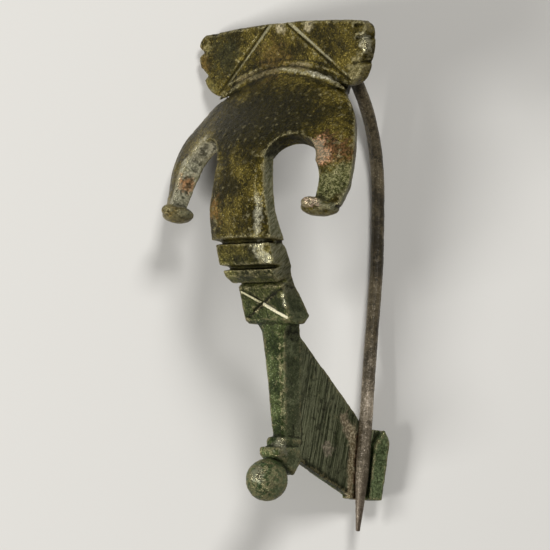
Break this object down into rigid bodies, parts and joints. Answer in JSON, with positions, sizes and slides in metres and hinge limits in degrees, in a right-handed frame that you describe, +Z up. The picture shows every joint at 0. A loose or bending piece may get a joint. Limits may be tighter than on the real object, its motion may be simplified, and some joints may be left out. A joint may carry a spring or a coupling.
{
  "type": "roman fibula brooch",
  "caption": "Roman bow brooch of anchor form in cast bronze, with a scalloped head plate, curled side arms, a ball foot and a hinged pin resting in its catch.",
  "frame": {"origin": "centre of the bounding box's base, on the surface the brooch lies on", "axes": "+Y runs from the foot towards the head plate, +Z up from the surface the brooch lies on, and the front of the bow looks up and towards -X"},
  "size_m": [0.0322, 0.0642, 0.0278],
  "materials": {
    "bronze_patina": "dark olive-green patina, worn brown",
    "axle_metal": "rust-stained, dull",
    "pin_metal": "brown-grey, worn bright in places"
  },
  "bodies": {
    "body": {"brooch_body": "bronze_patina", "hinge_axle": "axle_metal"},
    "swing": {"pin": "pin_metal"}
  },
  "joints": [
    {"name": "pin_hinge", "type": "hinge", "parent": "body", "child": "swing", "pos_m": [0.00654, 0.02829, 0.00499], "axis": [0.6655, 0.016, 0.7462], "range_deg": [0, 95]}
  ]
}
